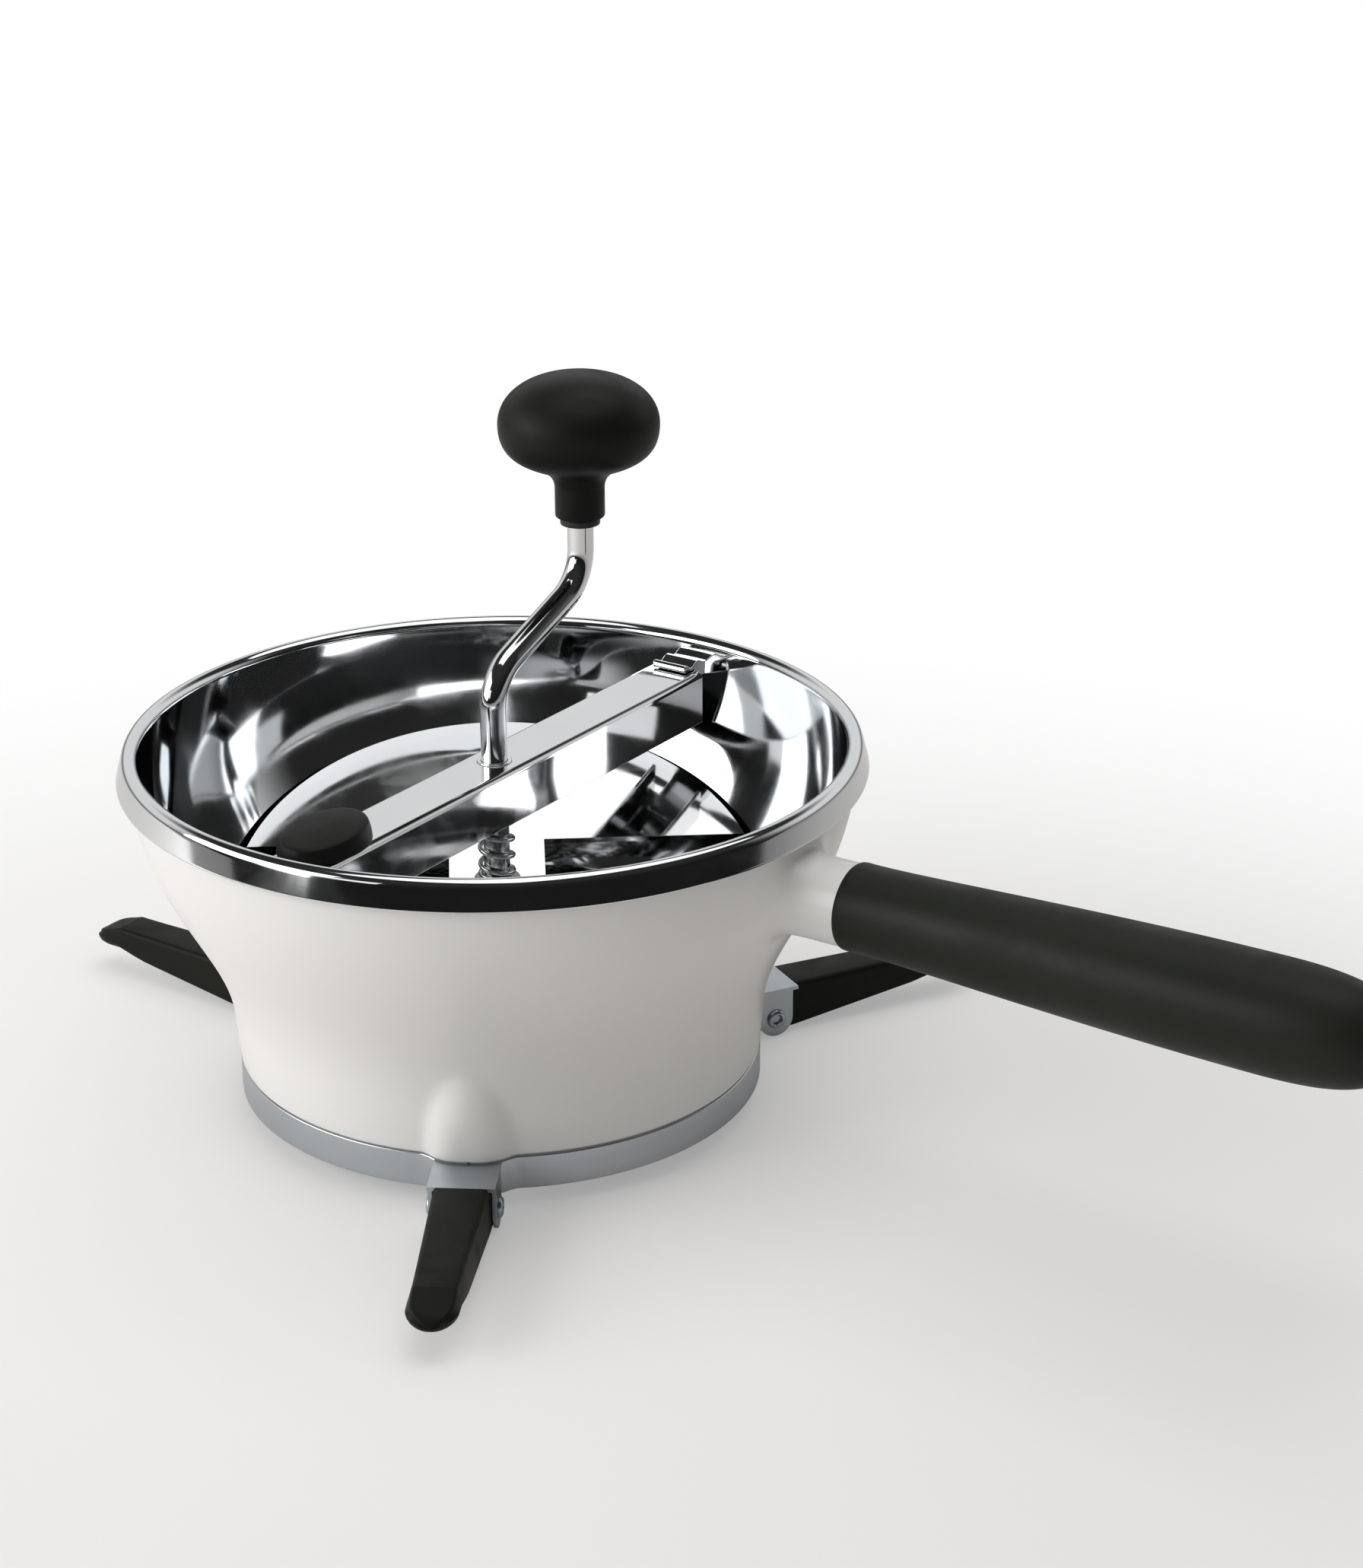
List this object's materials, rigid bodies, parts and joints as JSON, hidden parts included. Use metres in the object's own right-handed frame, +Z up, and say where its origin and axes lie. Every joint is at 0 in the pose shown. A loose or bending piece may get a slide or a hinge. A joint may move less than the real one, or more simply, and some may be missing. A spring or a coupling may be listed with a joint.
{
  "type": "food mill",
  "caption": "Hand-cranked food mill: steel bowl in a plastic casing with a side handle, a sprung blade under a latched crossbar, a knob crank and folding pot-rest legs.",
  "frame": {"origin": "on the mill's axis at the surface it stands on", "axes": "+X along the handle, +Z up out of the bowl"},
  "size_m": [0.4585, 0.29, 0.2165],
  "materials": {
    "white_plastic": "glossy moulded, warm white",
    "polished_steel": "mirror polished",
    "satin_steel": "satin",
    "soft_black": "matt soft touch",
    "dark_plastic": "matt"
  },
  "bodies": {
    "mill_body": {"outer_casing": "white_plastic", "steel_bowl": "polished_steel", "base_ring": "satin_steel", "bracket_screws": "satin_steel", "handle_grip": "soft_black", "grinding_disc": "polished_steel", "crossbar": "polished_steel", "bar_catch": "polished_steel", "latch_keeper": "satin_steel", "latch_stop": "satin_steel", "latch_spring": "satin_steel", "shaft_bush": "white_plastic", "pressure_spring": "satin_steel", "bracket_right": "satin_steel", "leg_pin_right": "satin_steel", "bracket_left": "satin_steel", "leg_pin_left": "satin_steel", "bracket_rear": "satin_steel", "leg_pin_rear": "satin_steel"},
    "spring_carriage": {"spring_washer": "satin_steel"},
    "crank": {"crank_rod": "polished_steel", "blade": "polished_steel", "blade_hub": "satin_steel", "hub_pin": "satin_steel", "knob_collar": "satin_steel", "knob_retainer": "satin_steel"},
    "knob": {"knob_cover": "soft_black", "knob_core": "dark_plastic"},
    "release": {"release_button": "soft_black", "latch_bolt": "satin_steel", "button_screw": "satin_steel"},
    "leg_right": {"leg_right": "soft_black"},
    "leg_left": {"leg_left": "soft_black"},
    "leg_rear": {"leg_rear": "soft_black"}
  },
  "joints": [
    {"name": "blade_float", "type": "slide", "parent": "mill_body", "child": "spring_carriage", "axis": [0, 0, 1], "range_m": [0, 0.005], "stiffness_N_per_m": 2000, "springref_m": -0.005, "deforming": ["pressure_spring"]},
    {"name": "crank_turn", "type": "hinge", "parent": "spring_carriage", "child": "crank", "pos_m": [0, 0, 0.1], "axis": [0, 0, 1], "continuous": true},
    {"name": "knob_spin", "type": "hinge", "parent": "crank", "child": "knob", "pos_m": [0, 0.046, 0.19], "axis": [0, 0, 1], "continuous": true},
    {"name": "release_slide", "type": "slide", "parent": "mill_body", "child": "release", "axis": [0, 1, 0], "range_m": [0, 0.0045], "stiffness_N_per_m": 600, "springref_m": -0.006, "deforming": ["latch_spring"]},
    {"name": "leg_right_fold", "type": "hinge", "parent": "mill_body", "child": "leg_right", "pos_m": [0.0455, -0.07881, 0.006], "axis": [0.866, 0.5, 0], "range_deg": [0, 178]},
    {"name": "leg_left_fold", "type": "hinge", "parent": "mill_body", "child": "leg_left", "pos_m": [0.0455, 0.07881, 0.006], "axis": [-0.866, 0.5, 0], "range_deg": [0, 178]},
    {"name": "leg_rear_fold", "type": "hinge", "parent": "mill_body", "child": "leg_rear", "pos_m": [-0.091, 0, 0.006], "axis": [0, -1, 0], "range_deg": [0, 178]}
  ]
}
